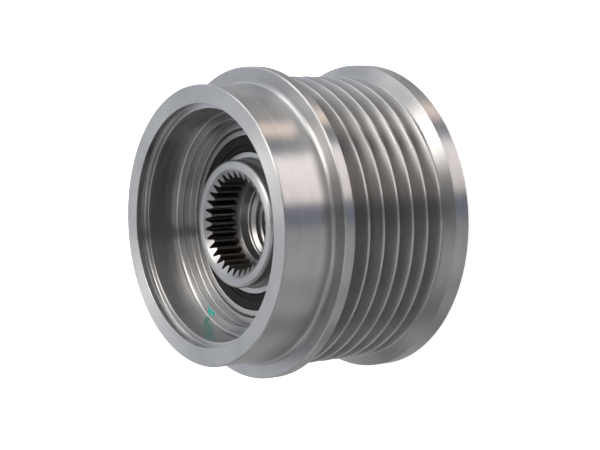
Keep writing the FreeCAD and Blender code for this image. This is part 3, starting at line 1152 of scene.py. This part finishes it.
@dataclass
class Studio:
    """The floor, the light all round the object and the camera. Angles are in degrees, lengths in mm.

    Attributes:
        elevation: The camera's height angle above the ground.
        roll: The camera's roll about its own axis.
        position: The camera's place.
        focal_length: Its lens, on a 36 mm sensor.
    """

    elevation: float = 37.144
    roll: float = -93.988
    position: tuple[float, float, float] = (-1.081, -251.655, 209.023)
    focal_length: float = 95.18
    sensor_width: float = 36.0
    clip_start: float = 0.01
    clip_end: float = 10.0
    floor_size: float = 4000.0
    floor_colour: Colour = (0.9, 0.9, 0.9)
    floor_glow: float = 0.75
    wall: Colour = (0.14, 0.14, 0.15)
    softboxes: tuple[Softbox, ...] = (
        Softbox("back_fill", 225.0, -2.0, 80.0, 46.0, 8.0, (0.60, 0.60, 0.61)),
        Softbox("key", 84.0, 60.0, 64.0, 20.0, 8.0, (5.9, 5.6, 5.3)),
        Softbox("key_tail", 146.0, 62.0, 34.0, 9.0, 3.0, (2.8, 2.7, 2.6)),
        Softbox("zenith", 0.0, 90.0, 360.0, 13.0, 3.0, (0.52, 0.52, 0.53)),
        Softbox("high_left", 288.0, 68.0, 84.0, 22.0, 6.0, (0.66, 0.66, 0.68)),
        Softbox("top_back", 146.0, 36.0, 120.0, 26.0, 6.0, (0.74, 0.77, 0.84)),
        Softbox("high_back", 199.0, 56.0, 46.0, 24.0, 5.0, (0.88, 0.90, 0.95)),
        Softbox("high_side", 92.0, 31.0, 72.0, 24.0, 5.0, (1.45, 1.43, 1.43)),
        Softbox("high_window", 36.0, 44.0, 48.0, 30.0, 3.0, (1.30, 1.25, 1.21)),
        Softbox("high_front", 335.0, 42.0, 48.0, 32.0, 5.0, (0.85, 0.84, 0.83)),
        Softbox("rim_fan", 165.0, 57.0, 24.0, 12.0, 4.0, (5.0, 4.8, 4.5)),
        Softbox("behind", 142.0, 0.0, 90.0, 28.0, 6.0, (1.35, 1.40, 1.50)),
        Softbox("behind_high", 180.0, 17.0, 36.0, 14.0, 4.0, (1.4, 1.4, 1.4)),
        Softbox("side", 88.0, 11.0, 44.0, 26.0, 5.0, (2.7, 2.7, 2.7)),
        Softbox("low_back", 160.0, -36.0, 80.0, 26.0, 6.0, (0.50, 0.50, 0.50)),
        Softbox("low_wall", 245.0, -38.0, 90.0, 22.0, 6.0, (0.46, 0.45, 0.44)),
        Softbox("left_edge", 302.0, -24.0, 40.0, 28.0, 6.0, (0.72, 0.71, 0.71)),
        Softbox("left", 336.0, -24.0, 44.0, 28.0, 6.0, (1.02, 1.02, 1.02)),
        Softbox("left_fill", 278.0, 25.0, 74.0, 34.0, 6.0, (0.68, 0.68, 0.69)),
        Softbox("window", 32.0, -24.0, 40.0, 32.0, 2.0, (2.9, 2.65, 2.55)),
        Softbox("window_side", 94.0, -37.0, 26.0, 24.0, 3.0, (0.62, 0.58, 0.56)),
        Softbox("window_post", 62.0, -33.0, 20.0, 34.0, 2.0, (0.24, 0.27, 0.34)),
        Softbox("lamp", 79.0, -37.0, 12.0, 22.0, 1.5, (3.1, 2.5, 2.1)),
        Softbox("dark_front", 2.0, -30.0, 16.0, 40.0, 2.0, (0.32, 0.35, 0.46)),
        Softbox("low_right", 60.0, -60.0, 44.0, 14.0, 4.0, (1.20, 1.22, 1.35)),
        Softbox("low_left", 305.0, -60.0, 60.0, 14.0, 4.0, (0.48, 0.48, 0.50)),
    )

    def turned(self) -> Matrix:
        """The camera's rotation."""
        tilt = Matrix.Rotation(math.radians(90.0 - self.elevation), 3, "X")
        return tilt @ Matrix.Rotation(math.radians(self.roll), 3, "Z")

    def camera(self) -> None:
        """Adds the camera."""
        bpy.ops.object.camera_add(location=[part * MM for part in self.position])
        camera = bpy.context.object
        camera.rotation_euler = self.turned().to_euler()
        camera.data.lens = self.focal_length
        camera.data.sensor_width = self.sensor_width
        camera.data.clip_start = self.clip_start
        camera.data.clip_end = self.clip_end
        bpy.context.scene.camera = camera

    def floor(self) -> None:
        """Adds the pale floor, white to the camera and dimmed only by the object's shadow."""
        bpy.ops.mesh.primitive_plane_add(size=self.floor_size * MM)
        floor = bpy.context.object
        floor.name = "floor"
        material = bpy.data.materials.new("pale_floor")
        material.use_nodes = True
        tree = material.node_tree
        tree.nodes.clear()
        path = add_node(tree, "ShaderNodeLightPath", {}, {})
        seen = Sock(tree, path.outputs["Is Camera Ray"])
        card = add_node(tree, "ShaderNodeBsdfDiffuse", {}, {"Color": (*self.floor_colour, 1.0)})
        glow = add_node(tree, "ShaderNodeEmission", {}, {"Color": WHITE, "Strength": seen * self.floor_glow})
        shaders = {0: Sock(tree, card.outputs[0]), 1: Sock(tree, glow.outputs[0])}
        both = add_node(tree, "ShaderNodeAddShader", {}, shaders)
        output = add_node(tree, "ShaderNodeOutputMaterial", {}, {})
        tree.links.new(both.outputs[0], output.inputs["Surface"])
        floor.data.materials.append(material)
        floor.visible_glossy = False
        floor.visible_shadow = False

    def world(self) -> None:
        """Lights the object from all round with soft panels in a grey wall."""
        world = bpy.data.worlds.new("studio")
        bpy.context.scene.world = world
        world.use_nodes = True
        tree = world.node_tree
        tree.nodes.clear()
        coordinates = add_node(tree, "ShaderNodeTexCoord", {}, {})
        direction = Sock(tree, coordinates.outputs["Generated"])
        split = add_node(tree, "ShaderNodeSeparateXYZ", {}, {"Vector": direction})
        x, y, z = (Sock(tree, split.outputs[name]) for name in "XYZ")
        rise = z.math("ARCSINE")
        light: Any = (*self.wall, 1.0)
        for box in self.softboxes:
            values = {0: box.mask(x, y, rise), 6: light, 7: (*box.colour, 1.0)}
            mixed = add_node(tree, "ShaderNodeMix", {"data_type": "RGBA", "label": box.name}, values)
            light = Sock(tree, mixed.outputs[2])
        path = add_node(tree, "ShaderNodeLightPath", {}, {})
        seen = Sock(tree, path.outputs["Is Camera Ray"])
        shown = add_node(tree, "ShaderNodeMix", {"data_type": "RGBA"}, {0: seen, 6: light, 7: WHITE})
        values = {"Color": Sock(tree, shown.outputs[2]), "Strength": 1.0}
        background = add_node(tree, "ShaderNodeBackground", {}, values)
        output = add_node(tree, "ShaderNodeOutputWorld", {}, {})
        tree.links.new(background.outputs[0], output.inputs["Surface"])

    def build(self) -> None:
        """Sets up the studio."""
        self.camera()
        self.floor()
        self.world()
        bpy.context.scene.view_settings.view_transform = "Standard"


def place(piece: bpy.types.Object, body: str, slot: str, *nodes: str) -> None:
    """Seats a piece on its body and hides the nodes that it stands for.

    Args:
        piece: The piece.
        body: The body that it rides on.
        slot: Its material slot; not used.
        *nodes: The nodes that it stands for.
    """
    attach(piece, body)
    if nodes:
        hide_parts(*nodes)
    LOG.info("%s rides on %s with %d faces", piece.name, body, len(piece.data.polygons))


def millimetres(node: str) -> tuple[Vector, Vector]:
    """The lowest and highest corners of a node, in mm."""
    low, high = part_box(node)
    return low / MM, high / MM


def dress_hidden_nodes(nodes: dict[str, bpy.types.Object], materials: Materials) -> None:
    """Gives the pieces inside the pulley their finishes.

    Args:
        nodes: The nodes' objects by name.
        materials: The materials.
    """
    finishes = {
        "ball_cage": Finish.CAGE,
        "roller_cage": Finish.CAGE,
        "inner_seal": Finish.SEAL,
    }
    for name, node in nodes.items():
        found = [finish for ending, finish in finishes.items() if name.endswith(ending)]
        dress(node, materials.get(found[0] if found else Finish.HARD))


def main() -> None:
    """Builds the pulley's pieces in order."""
    logging.basicConfig(level=logging.INFO, format="%(message)s")
    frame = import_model()
    materials = Materials()
    dress_hidden_nodes(frame["nodes"], materials)
    wheel_low, wheel_high = millimetres("pulley_body")
    hub_high = millimetres("hub_sleeve")[1]
    front_low, front_high = millimetres("front_bearing_outer_ring")
    rear_low, rear_high = millimetres("rear_bearing_outer_ring")

    wheel = BeltWheel(rear=wheel_low.z, rim=wheel_high.z, rear_flange=30.6, seat=18.5)
    place(dress(wheel.build(), materials.get(Finish.BODY)), "pulley", "pulley_steel", "pulley_body")

    hub = Hub(top=hub_high.z, radius=12.5, face=front_high.z)
    place(dress(hub.build(), materials.get(Finish.HUB)), "hub", "hub_steel", "hub_sleeve")
    place(dress(hub.thread(), materials.get(Finish.THREAD)), "hub", "hub_steel")

    for end in (
        BearingEnd("front_bearing", front_low.z, front_high.z, True),
        BearingEnd("rear_bearing", rear_low.z, rear_high.z, False),
    ):
        side = end.place.split("_")[0]
        inner = dress(end.inner_ring(), materials.get(Finish.RING))
        place(inner, "hub", "bearing_steel", end.place + "_inner_ring")
        outer = dress(end.outer_ring(), materials.get(Finish.RING))
        place(outer, "pulley", "bearing_steel", end.place + "_outer_ring")
        place(dress(end.seal(), materials.get(Finish.SEAL)), "pulley", "seal_rubber", side + "_outer_seal")

    Studio().build()


if __name__ == "__main__":
    main()
